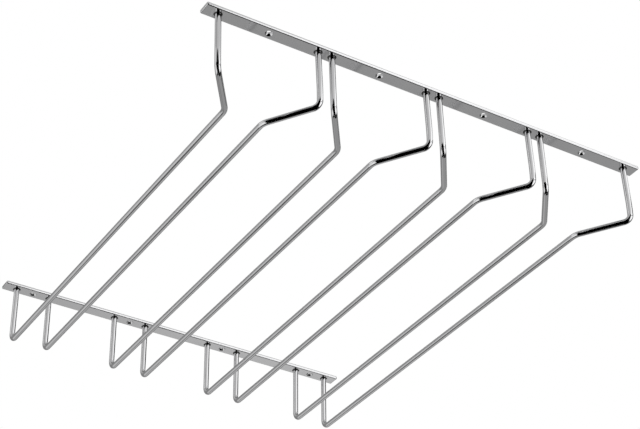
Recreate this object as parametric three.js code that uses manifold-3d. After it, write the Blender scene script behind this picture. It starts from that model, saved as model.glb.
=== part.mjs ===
// Hanging rack for stemmed glasses: bent steel rods welded under two flat bars, chromed all over.
// Lengths are in millimetres. X runs along the bars, Y from the front bar to the rear bar, Z is up.
// The origin is the centre of the front bar's top face, which is screwed up against a shelf.

import * as THREE from 'three';
import { mergeVertices } from 'three/addons/utils/BufferGeometryUtils.js';
import Module from 'manifold-3d';

// Channels: each hangs one row of glasses between two rods
const channelCount = 4;
// clear width at the open front end, where a foot goes in
const mouthWidth = 84;
// clear width between the rails, where the stems run
const slotWidth = 28;
// clear width between the front legs of neighbouring channels
const legGap = 7.6;

// Rods
const rodDiameter = 5;
// from the front bar's centre line to the rear bar's
const barSpacing = 444.5;
// from the bars' undersides down to the rails' centre lines
const railDrop = 56;
// the flare starts this much higher than it ends
const flareDrop = 1.5;
// length along Y over which a rod turns in from the mouth to the slot
const flareRun = 40;
// the front leg's foot stands this far ahead of its top
const legLean = 2.5;
// radii of the rod's centre line at its three bends
const frontBendRadius = 6;
const flareBendRadius = 14;
const rearBendRadius = 8;

// Bars
const barWidth = 12.7;
const barThickness = 3.2;
// from the outermost leg's centre line to the bar's end
const barOverhang = 12.6;
const barEdgeRadius = 0.7;
const barCornerRadius = 1.2;

// Screw holes, one in each bar at every channel
const screwHoleDiameter = 3.6;
const countersinkDiameter = 6.6;
const countersinkAngle = Math.PI / 2;

// Fillet welds round the tops of the legs
const weldLeg = 1.1;
const weldClearance = 0.25;
const weldEdge = 0.15;

// How finely round shapes are cut into flats
const rodSides = 16;
const bendStepAngle = Math.PI / 12;
const holeSides = 24;
const weldSides = 16;
const weldArcSteps = 3;
const edgeSteps = 2;
const cutOverrun = 1;

// Worked out from the sizes above
const rodRadius = rodDiameter / 2;
const halfMouth = (mouthWidth + rodDiameter) / 2;
const halfSlot = (slotWidth + rodDiameter) / 2;
const channelPitch = mouthWidth + 2 * rodDiameter + legGap;
const outerChannel = channelPitch * (channelCount - 1) / 2;
const frontBarLength = 2 * (outerChannel + halfMouth + barOverhang);
const rearBarLength = 2 * (outerChannel + halfSlot + barOverhang);

const wasm = await Module();
wasm.setup();

const chromedRod = { color: 0xb9bcbd, roughness: 0.08, metalness: 1 };
const chromedBar = { color: 0xa4a6a8, roughness: 0.14, metalness: 1 };
const chromedWeld = { color: 0x8d8f91, roughness: 0.2, metalness: 1 };

function channelCentre(index) {
  return index * channelPitch - outerChannel;
}

function namedMesh(name, geometry, finish) {
  const mesh = new THREE.Mesh(geometry, new THREE.MeshStandardMaterial(finish));
  mesh.name = name;
  return mesh;
}

// A closed geometry as a solid that can be cut
function solidFrom(geometry) {
  const bare = geometry.clone();
  bare.deleteAttribute('normal');
  bare.deleteAttribute('uv');
  const merged = mergeVertices(bare);
  const index = Array.from(merged.index.array);
  const kept = [];
  for (let first = 0; first < index.length; first += 3) {
    const [a, b, c] = index.slice(first, first + 3);
    // the rings on a lathe's axis close up, which leaves triangles with no area
    if (a !== b && b !== c && c !== a) {
      kept.push(a, b, c);
    }
  }
  return new wasm.Manifold(new wasm.Mesh({
    numProp: 3,
    vertProperties: merged.attributes.position.array,
    triVerts: Uint32Array.from(kept),
  }));
}

function geometryFrom(solid) {
  const mesh = solid.getMesh();
  const geometry = new THREE.BufferGeometry();
  geometry.setAttribute('position', new THREE.BufferAttribute(mesh.vertProperties, mesh.numProp));
  geometry.setIndex(new THREE.BufferAttribute(mesh.triVerts, 1));
  geometry.computeVertexNormals();
  return geometry;
}

// The centre line of a rod bent at corners: one station at each end and several round each bend.
// The rod's ends are cut level, to stand square on the bars.
class BentRod extends THREE.Curve {
  constructor(corners, radii) {
    super();
    const last = corners.length - 1;
    const down = new THREE.Vector3(0, 0, -1);
    this.stations = [{ point: corners[0], direction: down }];
    for (let corner = 1; corner < last; corner += 1) {
      this.addBend(corners[corner - 1], corners[corner], corners[corner + 1], radii[corner - 1]);
    }
    this.stations.push({ point: corners[last], direction: down.clone().negate() });
  }

  addBend(before, corner, after, radius) {
    const along = corner.clone().sub(before).normalize();
    const onward = after.clone().sub(corner).normalize();
    const turn = along.angleTo(onward);
    const inward = onward.clone().addScaledVector(along, -Math.cos(turn)).normalize();
    const start = corner.clone().addScaledVector(along, -radius * Math.tan(turn / 2));
    const steps = Math.ceil(turn / bendStepAngle);
    for (let step = 0; step <= steps; step += 1) {
      const angle = turn * step / steps;
      const point = start.clone()
        .addScaledVector(along, radius * Math.sin(angle))
        .addScaledVector(inward, radius * (1 - Math.cos(angle)));
      const direction = along.clone()
        .multiplyScalar(Math.cos(angle))
        .addScaledVector(inward, Math.sin(angle));
      this.stations.push({ point, direction });
    }
  }

  // Sections stand at the stations only, so the straight runs take one step each
  getUtoTmapping(share) {
    return share;
  }

  getPoint(share, target = new THREE.Vector3()) {
    const place = share * (this.stations.length - 1);
    const before = Math.min(Math.floor(place), this.stations.length - 2);
    const here = this.stations[before].point;
    const next = this.stations[before + 1].point;
    return target.lerpVectors(here, next, place - before);
  }

  getTangent(share, target = new THREE.Vector3()) {
    const nearest = Math.round(share * (this.stations.length - 1));
    return target.copy(this.stations[nearest].direction);
  }
}

// One rod, from the front bar down, in along the flare, back along the rail and up to the rear bar.
// Its place is measured from the channel's centre, at the bars' undersides; side is -1 or 1.
function rodGeometry(side) {
  const path = new BentRod([
    new THREE.Vector3(side * halfMouth, 0, 0),
    new THREE.Vector3(side * halfMouth, -legLean, flareDrop - railDrop),
    new THREE.Vector3(side * halfSlot, flareRun - legLean, -railDrop),
    new THREE.Vector3(side * halfSlot, barSpacing, -railDrop),
    new THREE.Vector3(side * halfSlot, barSpacing, 0),
  ], [frontBendRadius, flareBendRadius, rearBendRadius]);
  // the flats, not the corners, lie at the rod's true radius
  const section = new THREE.Shape();
  section.absarc(0, 0, rodRadius / Math.cos(Math.PI / rodSides), 0, 2 * Math.PI);
  return new THREE.ExtrudeGeometry(section, {
    extrudePath: path,
    steps: path.stations.length - 1,
    curveSegments: rodSides / 2,
  });
}

// A ring of weld metal with a hollow face, hanging from the bar round the top of a leg
function weldGeometry() {
  const inner = rodRadius + weldClearance;
  const outer = rodRadius + weldLeg;
  const hollow = weldLeg - weldEdge;
  const profile = [
    new THREE.Vector2(inner, 0),
    new THREE.Vector2(inner, -weldLeg),
  ];
  // the hollow is an arc centred out from the leg and down from the bar
  for (let step = 0; step <= weldArcSteps; step += 1) {
    const angle = step / weldArcSteps * Math.PI / 2;
    profile.push(new THREE.Vector2(
      outer - (hollow - weldClearance) * Math.cos(angle),
      -weldLeg + hollow * Math.sin(angle),
    ));
  }
  profile.push(new THREE.Vector2(outer, 0), new THREE.Vector2(inner, 0));
  const ring = new THREE.LatheGeometry(profile, weldSides);
  return ring.rotateX(Math.PI / 2);
}

// The cutter for one countersunk screw hole, opening downwards through a bar whose top is at zero
function screwHoleCutter() {
  const holeRadius = screwHoleDiameter / 2;
  const sinkRadius = countersinkDiameter / 2;
  const slope = Math.tan(countersinkAngle / 2);
  const sinkDepth = (sinkRadius - holeRadius) / slope;
  const cutter = new THREE.LatheGeometry([
    new THREE.Vector2(0, -barThickness - cutOverrun),
    new THREE.Vector2(sinkRadius + cutOverrun * slope, -barThickness - cutOverrun),
    new THREE.Vector2(holeRadius, sinkDepth - barThickness),
    new THREE.Vector2(holeRadius, cutOverrun),
    new THREE.Vector2(0, cutOverrun),
  ], holeSides);
  return solidFrom(cutter.rotateX(Math.PI / 2));
}

// A flat bar with rounded edges and a screw hole at every channel; its top face is at zero
function barGeometry(length) {
  const right = length / 2;
  const back = barWidth / 2;
  const corner = barCornerRadius;
  const outline = new THREE.Shape();
  outline.moveTo(corner - right, -back);
  outline.lineTo(right - corner, -back);
  outline.absarc(right - corner, corner - back, corner, -Math.PI / 2, 0);
  outline.absarc(right - corner, back - corner, corner, 0, Math.PI / 2);
  outline.absarc(corner - right, back - corner, corner, Math.PI / 2, Math.PI);
  outline.absarc(corner - right, corner - back, corner, Math.PI, Math.PI * 3 / 2);
  const blank = new THREE.ExtrudeGeometry(outline, {
    depth: barThickness - 2 * barEdgeRadius,
    steps: 1,
    curveSegments: edgeSteps,
    bevelEnabled: true,
    bevelThickness: barEdgeRadius,
    bevelSize: barEdgeRadius,
    bevelOffset: -barEdgeRadius,
    bevelSegments: edgeSteps,
  });
  blank.translate(0, 0, barEdgeRadius - barThickness);
  const cutter = screwHoleCutter();
  let bar = solidFrom(blank);
  for (let channel = 0; channel < channelCount; channel += 1) {
    bar = bar.subtract(cutter.translate(channelCentre(channel), 0, 0));
  }
  return geometryFrom(bar);
}

// The two rods of one channel, with the weld at each end of each rod
function channelGroup(number) {
  const channel = new THREE.Group();
  const sides = [['left', -1], ['right', 1]];
  for (const [sideName, side] of sides) {
    const label = `${number}_${sideName}`;
    const rod = namedMesh(`rod_${label}`, rodGeometry(side), chromedRod);
    const frontWeld = namedMesh(`front_weld_${label}`, weldGeometry(), chromedWeld);
    frontWeld.position.set(side * halfMouth, 0, 0);
    const rearWeld = namedMesh(`rear_weld_${label}`, weldGeometry(), chromedWeld);
    rearWeld.position.set(side * halfSlot, barSpacing, 0);
    channel.add(rod, frontWeld, rearWeld);
  }
  return channel;
}

const rack = new THREE.Group();

const frontBar = namedMesh('front_bar', barGeometry(frontBarLength), chromedBar);
const rearBar = namedMesh('rear_bar', barGeometry(rearBarLength), chromedBar);
rearBar.position.y = barSpacing;
rack.add(frontBar, rearBar);

for (let index = 0; index < channelCount; index += 1) {
  const channel = channelGroup(index + 1);
  channel.position.set(channelCentre(index), 0, -barThickness);
  rack.add(channel);
}

export default rack;
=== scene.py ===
import math

import bmesh
import bpy
from mathutils import Matrix, Vector


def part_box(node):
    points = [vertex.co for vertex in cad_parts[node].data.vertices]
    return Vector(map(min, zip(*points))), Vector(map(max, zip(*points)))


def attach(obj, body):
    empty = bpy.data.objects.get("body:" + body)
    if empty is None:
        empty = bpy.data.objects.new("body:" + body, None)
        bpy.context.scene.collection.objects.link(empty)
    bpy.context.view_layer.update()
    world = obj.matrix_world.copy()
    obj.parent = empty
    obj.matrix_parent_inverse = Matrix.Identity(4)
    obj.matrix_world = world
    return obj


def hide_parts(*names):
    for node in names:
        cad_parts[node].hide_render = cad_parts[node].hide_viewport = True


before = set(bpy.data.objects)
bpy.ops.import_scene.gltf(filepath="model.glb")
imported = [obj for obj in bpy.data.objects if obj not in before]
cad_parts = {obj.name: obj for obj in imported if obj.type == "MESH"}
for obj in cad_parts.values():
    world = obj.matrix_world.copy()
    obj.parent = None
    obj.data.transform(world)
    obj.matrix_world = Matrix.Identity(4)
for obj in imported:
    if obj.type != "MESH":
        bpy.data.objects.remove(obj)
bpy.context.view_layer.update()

# Front and rear bar: two lengths of flat steel bar, sawn square, with every edge eased before plating.
# Each has a hole at every channel, countersunk from below for a wood screw, and the two carry all the
# rods. The chrome is satin on the rolled flats and bright in the turned countersinks.
ENDS = ("front", "rear")
CHANNELS = (1, 2, 3, 4)
SIDES = ("left", "right")
# lengths are in metres, here and in the sections below
BAR_CORNER_RADIUS = 0.0012
BAR_EDGE_RADIUS = 0.001
BAR_ROUND_SEGMENTS = 6
FLAT_MARGIN = 0.0001
HOLE_RADIUS = 0.0018
COUNTERSINK_RADIUS = 0.0033
# a hole is spun with a narrow flat collar round both its rims, and the bar's flats are filled up to it
HOLE_COLLAR = 0.0004
HOLE_RIM_ROUNDING = 0.00012
HOLE_RIM_SEGMENTS = 3
HOLE_STEPS = 64
# what counts as one place when points are looked for, and when they are merged
SAME_PLACE = 0.00001
MERGE_DISTANCE = 1e-7
# edges that turn further than this stay crisp, and gentler ones are shaded smooth
CRISP_ANGLE = math.radians(35)
BAR_FINISH = {
    "Bright": (0.77, 0.77, 0.775, 1),
    "Dull": (0.72, 0.72, 0.73, 1),
    "Smoothest": 0.08,
    "Roughest": 0.12,
    "Grain Depth": 1.5e-7,
    "Peel Depth": 5e-7,
}
COUNTERSINK_ROUGHNESS = 0.06
# the fine rings that the countersinking tool leaves
TURNING_PITCH = 0.00015
TURNING_DEPTH = 2e-7


def box_centre(node):
    low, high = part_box(node)
    return (low + high) / 2


def channel_centre(number):
    """Halfway between a channel's two front legs, measured across the rack."""
    left, right = (box_centre(f"front_weld_{number}_{side}") for side in SIDES)
    return (left.x + right.x) / 2


def round_edges(bm, edges, radius, segments):
    bmesh.ops.bevel(bm, geom=edges, offset=radius, segments=segments, profile=0.5, affect="EDGES",
                    material=-1)


def circle_at(edges, centre, radius, height):
    """The edges that lie on one level circle round a hole."""
    def on_circle(vert):
        reach = (vert.co - centre).xy.length
        return abs(vert.co.z - height) < SAME_PLACE and abs(reach - radius) < SAME_PLACE
    return [edge for edge in edges if all(on_circle(vert) for vert in edge.verts)]


def drill_hole(bm, centre, bottom, top):
    """Spins the wall of one countersunk hole and rounds its rims. Returns its lower and upper border."""
    # the countersink's wall leans at 45 degrees, so it is as deep as it is wide
    countersink_top = bottom + COUNTERSINK_RADIUS - HOLE_RADIUS
    profile = [
        (COUNTERSINK_RADIUS + HOLE_COLLAR, bottom),
        (COUNTERSINK_RADIUS, bottom),
        (HOLE_RADIUS, countersink_top),
        (HOLE_RADIUS, top),
        (HOLE_RADIUS + HOLE_COLLAR, top),
    ]
    points = [bm.verts.new(centre + Vector((radius, 0, height))) for radius, height in profile]
    lines = [bm.edges.new(pair) for pair in zip(points, points[1:])]
    others = set(bm.edges) - set(lines)
    bmesh.ops.spin(bm, geom=points + lines, cent=centre, axis=(0, 0, 1), angle=2 * math.pi,
                   steps=HOLE_STEPS, use_merge=True)
    wall = [edge for edge in bm.edges if edge not in others]
    circles = [circle_at(wall, centre, radius, height) for radius, height in profile]
    lower_border, *rims, upper_border = circles
    round_edges(bm, [edge for rim in rims for edge in rim], HOLE_RIM_ROUNDING, HOLE_RIM_SEGMENTS)
    return lower_border, upper_border


def largest_two_faces(bm):
    """The flat top and underside, the lower one first."""
    flats = sorted(bm.faces, key=lambda face: face.calc_area())[-2:]
    return sorted(flats, key=lambda face: face.calc_center_median().z)


def make_bar(node):
    """Rounds a block into a length of bar, then drills it: the flats are filled anew round the holes."""
    low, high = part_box(node)
    bm = bmesh.new()
    bmesh.ops.create_cube(bm, size=1)
    bmesh.ops.scale(bm, vec=high - low, verts=bm.verts)
    bmesh.ops.translate(bm, vec=(low + high) / 2, verts=bm.verts)
    uprights = [edge for edge in bm.edges if edge.calc_length() < high.z - low.z + SAME_PLACE]
    round_edges(bm, uprights, BAR_CORNER_RADIUS, BAR_ROUND_SEGMENTS)
    rims = [edge for face in largest_two_faces(bm) for edge in face.edges]
    round_edges(bm, rims, BAR_EDGE_RADIUS, BAR_ROUND_SEGMENTS)
    # a narrow flat border keeps the rounding out of the flats' shading
    bmesh.ops.inset_region(bm, faces=largest_two_faces(bm), thickness=FLAT_MARGIN, use_even_offset=True)
    flats = largest_two_faces(bm)
    outlines = [list(face.edges) for face in flats]
    bmesh.ops.delete(bm, geom=flats, context="FACES_ONLY")
    hole_centres = [Vector((channel_centre(number), box_centre(node).y, 0)) for number in CHANNELS]
    for centre in hole_centres:
        for outline, border in zip(outlines, drill_hole(bm, centre, low.z, high.z)):
            outline.extend(border)
    for outline, up in zip(outlines, (-1, 1)):
        bmesh.ops.triangle_fill(bm, edges=outline, use_beauty=True, normal=(0, 0, up))
    bmesh.ops.remove_doubles(bm, verts=bm.verts, dist=MERGE_DISTANCE)
    bmesh.ops.recalc_face_normals(bm, faces=bm.faces)
    from_hole = bm.verts.layers.float.new("from_hole")
    for vert in bm.verts:
        vert[from_hole] = min((vert.co - centre).xy.length for centre in hole_centres)
    return finish_piece(bm, node)


def finish_piece(bm, node):
    """Turns a finished mesh into the object that stands for a CAD node."""
    for face in bm.faces:
        face.smooth = True
    for edge in bm.edges:
        edge.smooth = edge.calc_face_angle(0) < CRISP_ANGLE
    name = f"{node}_chromed"
    mesh = bpy.data.meshes.new(name)
    bm.to_mesh(mesh)
    bm.free()
    piece = bpy.data.objects.new(name, mesh)
    bpy.context.scene.collection.objects.link(piece)
    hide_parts(node)
    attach(piece, "root")
    return piece


def feed(tree, socket, value):
    """Links another node's output to a socket, or sets the socket to a plain value."""
    if isinstance(value, bpy.types.NodeSocket):
        tree.links.new(value, socket)
    else:
        socket.default_value = value


def add_node(tree, kind, **inputs):
    """A new shader node. Its inputs are named with _ for a space."""
    node = tree.nodes.new(f"ShaderNode{kind}")
    for name, value in inputs.items():
        feed(tree, node.inputs[name.replace("_", " ")], value)
    return node


def add_math(tree, operation, *values):
    """A Math node's result."""
    node = tree.nodes.new("ShaderNodeMath")
    node.operation = operation
    for socket, value in zip(node.inputs, values):
        feed(tree, socket, value)
    return node.outputs["Value"]


def add_attribute(tree, name):
    """The outputs of a node that reads what the mesh's points carry under a name."""
    node = tree.nodes.new("ShaderNodeAttribute")
    node.attribute_name = name
    return node.outputs


def between(tree, share, low, high):
    """A share from 0 to 1 spread over a range."""
    return add_node(tree, "MapRange", Value=share, To_Min=low, To_Max=high).outputs["Result"]


def make_plate_group():
    """Chrome plate: faint lines along X, broad clouds, a shallow orange peel and a few pits."""
    grain_size = (0.022, 0.00022, 0.00022)
    grain_detail = 3
    grain_contrast = 0.6
    cloud_size = 0.016
    cloud_detail = 4
    peel_size = 0.0035
    peel_detail = 1
    pit_spacing = 0.0045
    pit_radius_share = 0.05
    pit_roughness = 0.12
    pit_depth = 1.5e-6
    least_tarnish = -0.3
    most_tarnish = 1.3
    grain_share = 0.6
    low_noise = 0.3
    high_noise = 0.7
    group = bpy.data.node_groups.new("chrome plate", "ShaderNodeTree")
    for name, kind in (
        ("Place", "NodeSocketVector"), ("Bright", "NodeSocketColor"), ("Dull", "NodeSocketColor"),
        ("Smoothest", "NodeSocketFloat"), ("Roughest", "NodeSocketFloat"),
        ("Grain Depth", "NodeSocketFloat"), ("Peel Depth", "NodeSocketFloat"),
    ):
        group.interface.new_socket(name, in_out="INPUT", socket_type=kind)
    for name, kind in (
        ("Color", "NodeSocketColor"), ("Roughness", "NodeSocketFloat"), ("Height", "NodeSocketFloat"),
    ):
        group.interface.new_socket(name, in_out="OUTPUT", socket_type=kind)
    given = group.nodes.new("NodeGroupInput").outputs
    result = group.nodes.new("NodeGroupOutput").inputs

    stretched = add_node(group, "Mapping", Vector=given["Place"], Scale=[1 / size for size in grain_size])
    grain = add_node(group, "TexNoise", Vector=stretched.outputs[0], Scale=1, Detail=grain_detail,
                     Roughness=grain_contrast)
    clouds = add_node(group, "TexNoise", Vector=given["Place"], Scale=1 / cloud_size, Detail=cloud_detail)
    peel = add_node(group, "TexNoise", Vector=given["Place"], Scale=1 / peel_size, Detail=peel_detail)
    pits = add_node(group, "TexVoronoi", Vector=given["Place"], Scale=1 / pit_spacing)
    pit = add_math(group, "LESS_THAN", pits.outputs["Distance"], pit_radius_share)

    tarnish = between(group, clouds.outputs[0], least_tarnish, most_tarnish)
    color = add_node(group, "MixRGB", Fac=tarnish, Color1=given["Bright"], Color2=given["Dull"])
    feed(group, result["Color"], color.outputs[0])

    blend = add_node(group, "Mix", Factor=grain_share, A=clouds.outputs[0], B=grain.outputs[0])
    spread = add_node(group, "MapRange", Value=blend.outputs[0], From_Min=low_noise, From_Max=high_noise,
                      To_Min=given["Smoothest"], To_Max=given["Roughest"])
    roughness = add_math(group, "MULTIPLY_ADD", pit, pit_roughness, spread.outputs[0])
    feed(group, result["Roughness"], roughness)

    lines = add_math(group, "MULTIPLY", grain.outputs[0], given["Grain Depth"])
    waves = add_math(group, "MULTIPLY_ADD", peel.outputs[0], given["Peel Depth"], lines)
    height = add_math(group, "MULTIPLY_ADD", pit, -pit_depth, waves)
    feed(group, result["Height"], height)
    return group


def make_chrome(name, finish, place_name=None):
    """Chrome laid out by a value that the mesh's points carry, or else by Object coordinates."""
    material = bpy.data.materials.new(name)
    material.use_nodes = True
    tree = material.node_tree
    if place_name:
        place = add_attribute(tree, place_name)["Vector"]
    else:
        place = tree.nodes.new("ShaderNodeTexCoord").outputs["Object"]
    plate = tree.nodes.new("ShaderNodeGroup")
    plate.name = "plate"
    plate.node_tree = plate_group
    feed(tree, plate.inputs["Place"], place)
    for socket_name, value in finish.items():
        feed(tree, plate.inputs[socket_name], value)
    relief = add_node(tree, "Bump", Strength=1, Distance=1, Height=plate.outputs["Height"])
    relief.name = "relief"
    shader = tree.nodes["Principled BSDF"].inputs
    feed(tree, shader["Metallic"], 1)
    feed(tree, shader["Base Color"], plate.outputs["Color"])
    feed(tree, shader["Roughness"], plate.outputs["Roughness"])
    feed(tree, shader["Normal"], relief.outputs["Normal"])
    return material


def brighten_countersinks(material):
    """Inside a countersink the plate lies on turned metal: brighter, with fine rings round the hole."""
    tree = material.node_tree
    plate = tree.nodes["plate"].outputs
    distance = add_attribute(tree, "from_hole")["Fac"]
    turned = add_math(tree, "LESS_THAN", distance, COUNTERSINK_RADIUS)
    roughness = add_node(tree, "Mix", Factor=turned, A=plate["Roughness"], B=COUNTERSINK_ROUGHNESS)
    feed(tree, tree.nodes["Principled BSDF"].inputs["Roughness"], roughness.outputs[0])
    turns = add_math(tree, "MULTIPLY", distance, 2 * math.pi / TURNING_PITCH)
    rings = add_math(tree, "MULTIPLY", add_math(tree, "SINE", turns), TURNING_DEPTH)
    height = add_math(tree, "MULTIPLY_ADD", rings, turned, plate["Height"])
    feed(tree, tree.nodes["relief"].inputs["Height"], height)


plate_group = make_plate_group()
bar_chrome = make_chrome("bar chrome", BAR_FINISH)
brighten_countersinks(bar_chrome)
for end in ENDS:
    bar = make_bar(f"{end}_bar")
    bar.data.materials.append(bar_chrome)

# Rods: two for each channel, of drawn steel, cut to length and bent cold in a jig: down from the front
# bar, in along a short flare, back as a straight rail and up to the rear bar. They are plated bright,
# and the die's faint lines run along them.
ROD_RADIUS = 0.0025
ROD_SIDES = 48
# how far the rail hangs below the bars, and how far the flare runs back and falls before it
RAIL_DROP = 0.056
FLARE_RUN = 0.040
FLARE_DROP = 0.0015
# how far a front leg leans forward and splays out over its length
LEG_LEAN = 0.0025
LEG_SPLAY = 0.0004
# the front leg gives a little, in a long shallow lead, before its sharp bend
FRONT_LEAD_TURN = math.radians(3)
FRONT_LEAD_RADIUS = 0.29
FRONT_BEND_RADIUS = 0.006
FLARE_BEND_RADIUS = 0.014
REAR_BEND_RADIUS = 0.008
# from front to rear, each bend's lead turn, the lead's radius and the bend's own radius
ROD_BENDS = (
    (FRONT_LEAD_TURN, FRONT_LEAD_RADIUS, FRONT_BEND_RADIUS),
    (0, 0, FLARE_BEND_RADIUS),
    (0, 0, REAR_BEND_RADIUS),
)
BEND_STEP = math.radians(3)
FEWEST_BEND_STEPS = 3
# a short ring on each side of a bend keeps its rounding out of the straight runs' shading
BEND_MARGIN = 0.0002
ROD_FINISH = {
    "Bright": (0.77, 0.77, 0.775, 1),
    "Dull": (0.73, 0.73, 0.74, 1),
    "Smoothest": 0.03,
    "Roughest": 0.06,
    "Grain Depth": 1e-7,
    "Peel Depth": 1e-6,
}


def ring_edges(ring):
    """The edges that join the points of one ring."""
    members = set(ring)
    touching = dict.fromkeys(edge for vert in ring for edge in vert.link_edges)
    return [edge for edge in touching if members.issuperset(edge.verts)]


class Rod:
    """A rod drawn out from its front end, ring by ring. Every point keeps its place on the straight rod."""

    def __init__(self, start):
        self.bm = bmesh.new()
        self.place = self.bm.verts.layers.float_vector.new("on_rod")
        self.distance = 0
        self.end = start.copy()
        self.facing = Vector((0, 0, -1))
        self.ring = bmesh.ops.create_circle(self.bm, radius=ROD_RADIUS, segments=ROD_SIDES)["verts"]
        for vert in self.ring:
            vert[self.place] = Vector((0, vert.co.x, vert.co.y))
        bmesh.ops.translate(self.bm, vec=start, verts=self.ring)
        self.first_ring = list(self.ring)

    def draw(self, length, matrix):
        """Extrudes the last ring, and carries the new one on by a matrix."""
        made = bmesh.ops.extrude_edge_only(self.bm, edges=ring_edges(self.ring))["geom"]
        self.ring = [item for item in made if isinstance(item, bmesh.types.BMVert)]
        bmesh.ops.transform(self.bm, matrix=matrix, verts=self.ring)
        self.distance += length
        self.end = matrix @ self.end
        for vert in self.ring:
            vert[self.place] = Vector((self.distance, vert[self.place].y, vert[self.place].z))

    def run_to(self, point):
        step = point - self.end
        self.draw(step.length, Matrix.Translation(step))

    def square_up(self, along):
        """Turns the last ring square to the run that follows it."""
        turn = self.facing.rotation_difference(along).to_matrix()
        bmesh.ops.rotate(self.bm, cent=self.end, matrix=turn, verts=self.ring)
        self.facing = along

    def bend(self, axis, turn, radius):
        steps = max(math.ceil(turn / BEND_STEP), FEWEST_BEND_STEPS)
        step_turn = Matrix.Rotation(turn / steps, 4, axis)
        centre = self.end + axis.cross(self.facing) * radius
        matrix = Matrix.Translation(centre) @ step_turn @ Matrix.Translation(-centre)
        for _ in range(steps):
            self.draw(radius * turn / steps, matrix)
        self.facing = Matrix.Rotation(turn, 3, axis) @ self.facing

    def cap(self):
        """Closes the two sawn ends."""
        for ring in (self.first_ring, self.ring):
            bmesh.ops.contextual_create(self.bm, geom=ring_edges(ring))
        bmesh.ops.recalc_face_normals(self.bm, faces=self.bm.faces)


def make_rod(node, corners):
    """Bends a rod at each inner corner. Where there is a lead, the rod gives a little before the bend."""
    rod = Rod(corners[0])
    inner_corners = zip(corners, corners[1:], corners[2:], ROD_BENDS)
    for before, corner, after, (lead_turn, lead_radius, radius) in inner_corners:
        along = (corner - before).normalized()
        onward = (after - corner).normalized()
        turn = along.angle(onward)
        main_turn = turn - lead_turn
        # the rod starts to turn so far before the corner that it comes out along the next run
        lead = lead_radius * math.tan(lead_turn / 2)
        leaning_run = lead + radius * math.tan(main_turn / 2)
        start = corner - along * (lead + leaning_run * math.sin(main_turn) / math.sin(turn))
        rod.run_to(start - along * BEND_MARGIN)
        rod.square_up(along)
        rod.run_to(start)
        axis = along.cross(onward).normalized()
        if lead_turn:
            rod.bend(axis, lead_turn, lead_radius)
        rod.bend(axis, main_turn, radius)
        rod.run_to(rod.end + onward * BEND_MARGIN)
    rod.run_to(corners[-1])
    rod.cap()
    return finish_piece(rod.bm, node)


rod_chrome = make_chrome("rod chrome", ROD_FINISH, "on_rod")
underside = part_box("front_bar")[0].z
rail_height = underside - RAIL_DROP
for number in CHANNELS:
    for side in SIDES:
        front = box_centre(f"front_weld_{number}_{side}")
        rear = box_centre(f"rear_weld_{number}_{side}")
        foot_y = front.y - LEG_LEAN
        splay = math.copysign(LEG_SPLAY, front.x - rear.x)
        corners = [
            Vector((front.x, front.y, underside)),
            Vector((front.x + splay, foot_y, rail_height + FLARE_DROP)),
            Vector((rear.x, foot_y + FLARE_RUN, rail_height)),
            Vector((rear.x, rear.y, rail_height)),
            Vector((rear.x, rear.y, underside)),
        ]
        rod = make_rod(f"rod_{number}_{side}", corners)
        rod.data.materials.append(rod_chrome)

# Welds: a small hand-laid fillet of weld metal runs round the top of each leg and joins it to the bar.
# Its face is hollow and its toes wander a little. Its plate is painted near black, as painted shade and a
# painted dark reflection for the hollow between leg and bar.
WELD_LEG = 0.0011
# how far the fillet reaches into the rod's skin, so that no gap shows between them
WELD_ROOT = 0.0003
WELD_STEPS = 64
WELD_ARC_STEPS = 8
# how many waves go once round the leg, and how far each swells the fillet, as a share of its size
WELD_WANDER = ((2, 0.05), (3, 0.06), (5, 0.03), (11, 0.015))
# painted shade: the weld's colours are near black, standing for the dark reflection in the crevice where
# the leg meets the bar
WELD_PAINTED_SHADE_FINISH = {
    "Bright": (0.12, 0.12, 0.12, 1),
    "Dull": (0.06, 0.06, 0.06, 1),
    "Smoothest": 0.10,
    "Roughest": 0.16,
    "Grain Depth": 2e-7,
    "Peel Depth": 6e-6,
}


def wander(angle, phase):
    """How much wider or narrower than planned the fillet is at an angle round the leg."""
    return 1 + sum(size * math.sin(waves * (angle + phase * waves)) for waves, size in WELD_WANDER)


def make_weld(node, phase):
    """Spins the fillet's section round the leg, then lets its toes wander."""
    centre = box_centre(node)
    toe = ROD_RADIUS + WELD_LEG
    inner = ROD_RADIUS - WELD_ROOT
    # from the root, inside the rod's skin, out to its face and up a hollow quarter circle to the bar
    profile = [(inner, 0), (inner, -WELD_LEG - WELD_ROOT)]
    for step in range(WELD_ARC_STEPS + 1):
        angle = step / WELD_ARC_STEPS * math.pi / 2
        profile.append((toe - WELD_LEG * math.cos(angle), WELD_LEG * (math.sin(angle) - 1)))
    bm = bmesh.new()
    points = [bm.verts.new((centre.x + radius, centre.y, underside + height)) for radius, height in profile]
    lines = [bm.edges.new(pair) for pair in zip(points, points[1:] + points[:1])]
    bmesh.ops.spin(bm, geom=points + lines, cent=(centre.x, centre.y, 0), axis=(0, 0, 1),
                   angle=2 * math.pi, steps=WELD_STEPS, use_merge=True)
    for vert in bm.verts:
        out = (vert.co - centre).xy
        if out.length > ROD_RADIUS:
            width = wander(math.atan2(out.y, out.x), phase)
            reach = ROD_RADIUS + (out.length - ROD_RADIUS) * width
            vert.co.xy = centre.xy + out.normalized() * reach
            vert.co.z = underside + (vert.co.z - underside) * width
    bmesh.ops.recalc_face_normals(bm, faces=bm.faces)
    return finish_piece(bm, node)


# the welds' near-black colour is painted shade, not the plate's own colour
weld_painted_shade_chrome = make_chrome("weld painted shade chrome", WELD_PAINTED_SHADE_FINISH)
weld_nodes = [f"{end}_weld_{number}_{side}" for number in CHANNELS for side in SIDES for end in ENDS]
for count, node in enumerate(weld_nodes):
    weld = make_weld(node, phase=count)
    weld.data.materials.append(weld_painted_shade_chrome)

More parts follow.
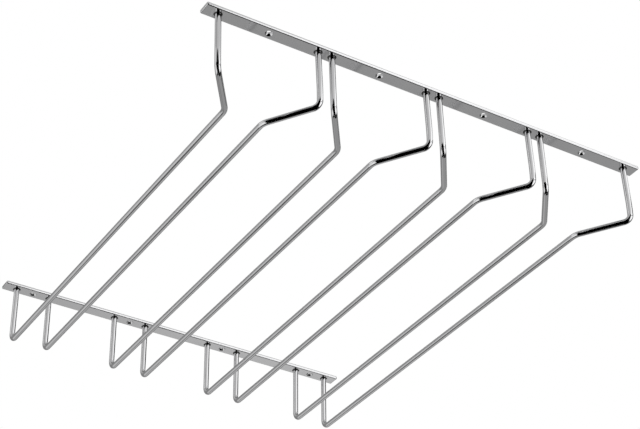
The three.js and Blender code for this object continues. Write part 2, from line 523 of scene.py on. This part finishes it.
# Studio: bright metal shows what stands around it, so the rack hangs among large cards that only the
# metal sees, white or grey to light it and black to outline it, some fading from edge to edge. The
# floor is plain and pale, far enough below to leave the view from under the rack free.
RACK_MIDDLE = Vector((0, 0.22, -0.03))
WHITE = (1, 1, 1, 1)
FLOOR_HEIGHT = -3
FLOOR_SIZE = 60
FLOOR_COLOR = (0.86, 0.86, 0.86, 1)
FLOOR_ROUGHNESS = 1
FLOOR_GLOW = 0.75
LAMP_HEIGHT = 2.5
LAMP_SIZE = 3
LAMP_POWER = 60
ROOM_LIGHT = 0.7
# name, bearing clockwise from the rack's rear, height, half width and half height in degrees, distance in
# metres, turn in degrees, tones of the left and right edge as seen from the rack, where 1 is white
CARDS = (
    ("rear_wall", 10, 5, 70, 65, 3.2, -15, 0.25, 0.3),
    ("ceiling", -50, 80, 65, 58, 2.8, 0, 1, 0),
    ("right_soft_box", 150, 3, 30, 40, 2.5, -5, 1.25, 1.3),
    ("soft_box_bar", 145, 12, 40, 2, 1.4, -5, 0, 0),
    ("high_front_panel", 155, 47, 28, 8, 1.1, 0, 0.9, 0.5),
    ("right_upper_flag", 115, 26, 35, 8, 2.9, 0, 0, 0.1),
    ("right_flag", 97, -10, 18, 32, 2.25, 5, 0.1, 0),
    ("low_right_flag", 112, -60, 40, 18, 2, 0, 0, 0),
    ("front_upper_panel", -155, 55, 50, 36, 2.5, 40, 0.95, 0.2),
    ("left_upper_panel", -90, 20, 22, 19, 3, 5, 0, 1.2),
    ("left_soft_box", -55, -25, 30, 30, 2.5, 30, 1.05, 0.5),
    ("left_front_flag", -145, -20, 40, 48, 1.75, -10, 0, 0),
    ("near_front_flag", -150, 14, 20, 9, 0.6, 0, 0, 0),
    ("low_rear_panel", 55, -50, 40, 30, 2.4, 15, 0.35, 0.35),
    ("low_strip", -10, -42, 20, 7, 1.8, 5, 0, 0.3),
    ("low_rear_strip", 15, -30, 25, 8, 1.5, -5, 0.3, 0.7),
    ("floor_cloth", -60, -80, 36, 20, 2.5, 15, 0, 0),
)


def link_stage_mesh(bm, name, material):
    mesh = bpy.data.meshes.new(name)
    bm.to_mesh(mesh)
    bm.free()
    mesh.materials.append(material)
    stage = bpy.data.objects.new(name, mesh)
    bpy.context.scene.collection.objects.link(stage)
    return stage


def backdrop_rays(tree):
    """Is 1 for rays that look at the backdrop, straight or by way of metal or glass."""
    path = tree.nodes.new("ShaderNodeLightPath").outputs
    seen = add_math(tree, "MAXIMUM", path["Is Camera Ray"], path["Is Glossy Ray"])
    return add_math(tree, "MAXIMUM", seen, path["Is Transmission Ray"])


def make_card(name, bearing, height, half_width, half_height, distance, turn, left_tone, right_tone):
    """A card that faces the middle of the rack. Its tone runs evenly from its left edge to its right."""
    material = bpy.data.materials.new(name)
    material.use_nodes = True
    tree = material.node_tree
    tree.nodes.clear()
    tone = between(tree, add_attribute(tree, "across")["Fac"], left_tone, right_tone)
    glow = add_node(tree, "Emission", Color=WHITE, Strength=tone)
    add_node(tree, "OutputMaterial", Surface=glow.outputs[0])
    bm = bmesh.new()
    bmesh.ops.create_grid(bm, x_segments=1, y_segments=1, size=distance)
    across = bm.verts.layers.float.new("across")
    for vert in bm.verts:
        vert[across] = 1 if vert.co.x > 0 else 0
    spread = (math.tan(math.radians(half_width)), math.tan(math.radians(half_height)), 1)
    bmesh.ops.scale(bm, vec=spread, verts=bm.verts)
    # a new card looks straight down, so 90 degrees of tilt bring it level
    place = (
        Matrix.Translation(RACK_MIDDLE)
        @ Matrix.Rotation(math.radians(-bearing), 4, "Z")
        @ Matrix.Rotation(math.radians(90 + height), 4, "X")
        @ Matrix.Translation((0, 0, -distance))
        @ Matrix.Rotation(math.radians(turn), 4, "Z")
    )
    bmesh.ops.transform(bm, matrix=place, verts=bm.verts)
    card = link_stage_mesh(bm, name, material)
    card.visible_camera = False
    card.visible_diffuse = False
    card.visible_shadow = False


def make_floor():
    """A matt floor that takes the rack's shadow, with a glow that shows in the view and in the metal."""
    material = bpy.data.materials.new("floor")
    material.use_nodes = True
    tree = material.node_tree
    shader = tree.nodes["Principled BSDF"]
    feed(tree, shader.inputs["Base Color"], FLOOR_COLOR)
    feed(tree, shader.inputs["Roughness"], FLOOR_ROUGHNESS)
    glow = add_node(tree, "Emission", Color=WHITE, Strength=1)
    share = add_math(tree, "MULTIPLY", backdrop_rays(tree), FLOOR_GLOW)
    mix = tree.nodes.new("ShaderNodeMixShader")
    for socket, output in zip(mix.inputs, (share, shader.outputs[0], glow.outputs[0])):
        feed(tree, socket, output)
    feed(tree, tree.nodes["Material Output"].inputs["Surface"], mix.outputs[0])
    bm = bmesh.new()
    bmesh.ops.create_grid(bm, x_segments=1, y_segments=1, size=FLOOR_SIZE / 2)
    bmesh.ops.translate(bm, vec=(0, 0, FLOOR_HEIGHT), verts=bm.verts)
    link_stage_mesh(bm, "floor", material)


def make_room():
    """White all round for the eye and the metal, and an even soft light on everything else."""
    world = bpy.data.worlds.new("room")
    bpy.context.scene.world = world
    world.use_nodes = True
    tree = world.node_tree
    background = tree.nodes["Background"]
    feed(tree, background.inputs["Color"], WHITE)
    feed(tree, background.inputs["Strength"], between(tree, backdrop_rays(tree), ROOM_LIGHT, 1))


def make_lamp():
    """A broad soft lamp straight overhead, which the metal doesn't show."""
    lamp = bpy.data.lights.new("overhead_lamp", "AREA")
    lamp.size = LAMP_SIZE
    lamp.energy = LAMP_POWER
    lamp_object = bpy.data.objects.new("overhead_lamp", lamp)
    lamp_object.location = (0, RACK_MIDDLE.y, LAMP_HEIGHT)
    lamp_object.visible_glossy = False
    bpy.context.scene.collection.objects.link(lamp_object)


for card_values in CARDS:
    make_card(*card_values)
make_floor()
make_room()
make_lamp()

# Camera: the photograph's view, from below, in front and to the left, through a long lens. Its place is
# in metres, its bearing, tilt and roll are in degrees, and its lens and sensor are in millimetres.
CAMERA_PLACE = (-0.685272, -0.936406, -0.903371)
CAMERA_BEARING = 31.6702
CAMERA_TILT = 34.1794
CAMERA_ROLL = -0.5345
CAMERA_LENS = 101.896
SENSOR_WIDTH = 36

camera_data = bpy.data.cameras.new("camera")
camera_data.lens = CAMERA_LENS
camera_data.sensor_width = SENSOR_WIDTH
camera = bpy.data.objects.new("camera", camera_data)
bpy.context.scene.collection.objects.link(camera)
# a new camera looks straight down, so 90 degrees of tilt bring it level
camera.matrix_world = (
    Matrix.Translation(CAMERA_PLACE)
    @ Matrix.Rotation(math.radians(-CAMERA_BEARING), 4, "Z")
    @ Matrix.Rotation(math.radians(90 + CAMERA_TILT), 4, "X")
    @ Matrix.Rotation(math.radians(CAMERA_ROLL), 4, "Z")
)
bpy.context.scene.camera = camera
bpy.context.scene.view_settings.view_transform = "Standard"
